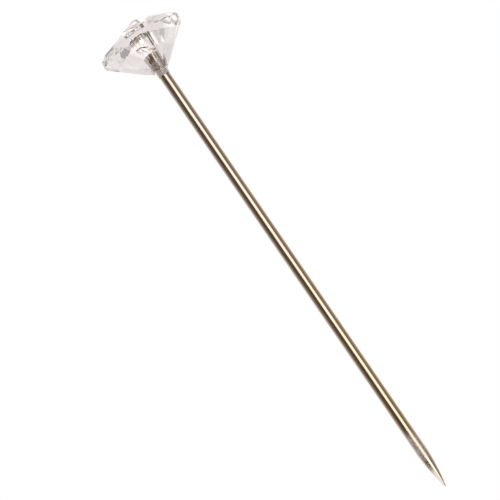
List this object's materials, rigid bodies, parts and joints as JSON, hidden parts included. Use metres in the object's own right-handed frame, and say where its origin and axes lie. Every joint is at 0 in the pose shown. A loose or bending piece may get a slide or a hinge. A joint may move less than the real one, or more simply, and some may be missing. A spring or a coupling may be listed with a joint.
{
  "type": "push pin",
  "caption": "Long straight pin with a clear faceted head cut like a round brilliant, bonded to a bright plated wire shank with a ground point.",
  "frame": {"origin": "on the shank's axis, where the bare wire comes out of the bond under the head", "axes": "+Z along the shank towards the head's table, -Z towards the point; a main facet faces +X"},
  "size_m": [0.008, 0.008, 0.05],
  "materials": {
    "clear_plastic": "clear, polished",
    "plated_wire": "bright plated, drawn, with a ground point",
    "adhesive": "cured, translucent"
  },
  "bodies": {
    "root": {"faceted_head": "clear_plastic", "pin_shank": "plated_wire", "adhesive_bond": "adhesive"}
  },
  "joints": []
}
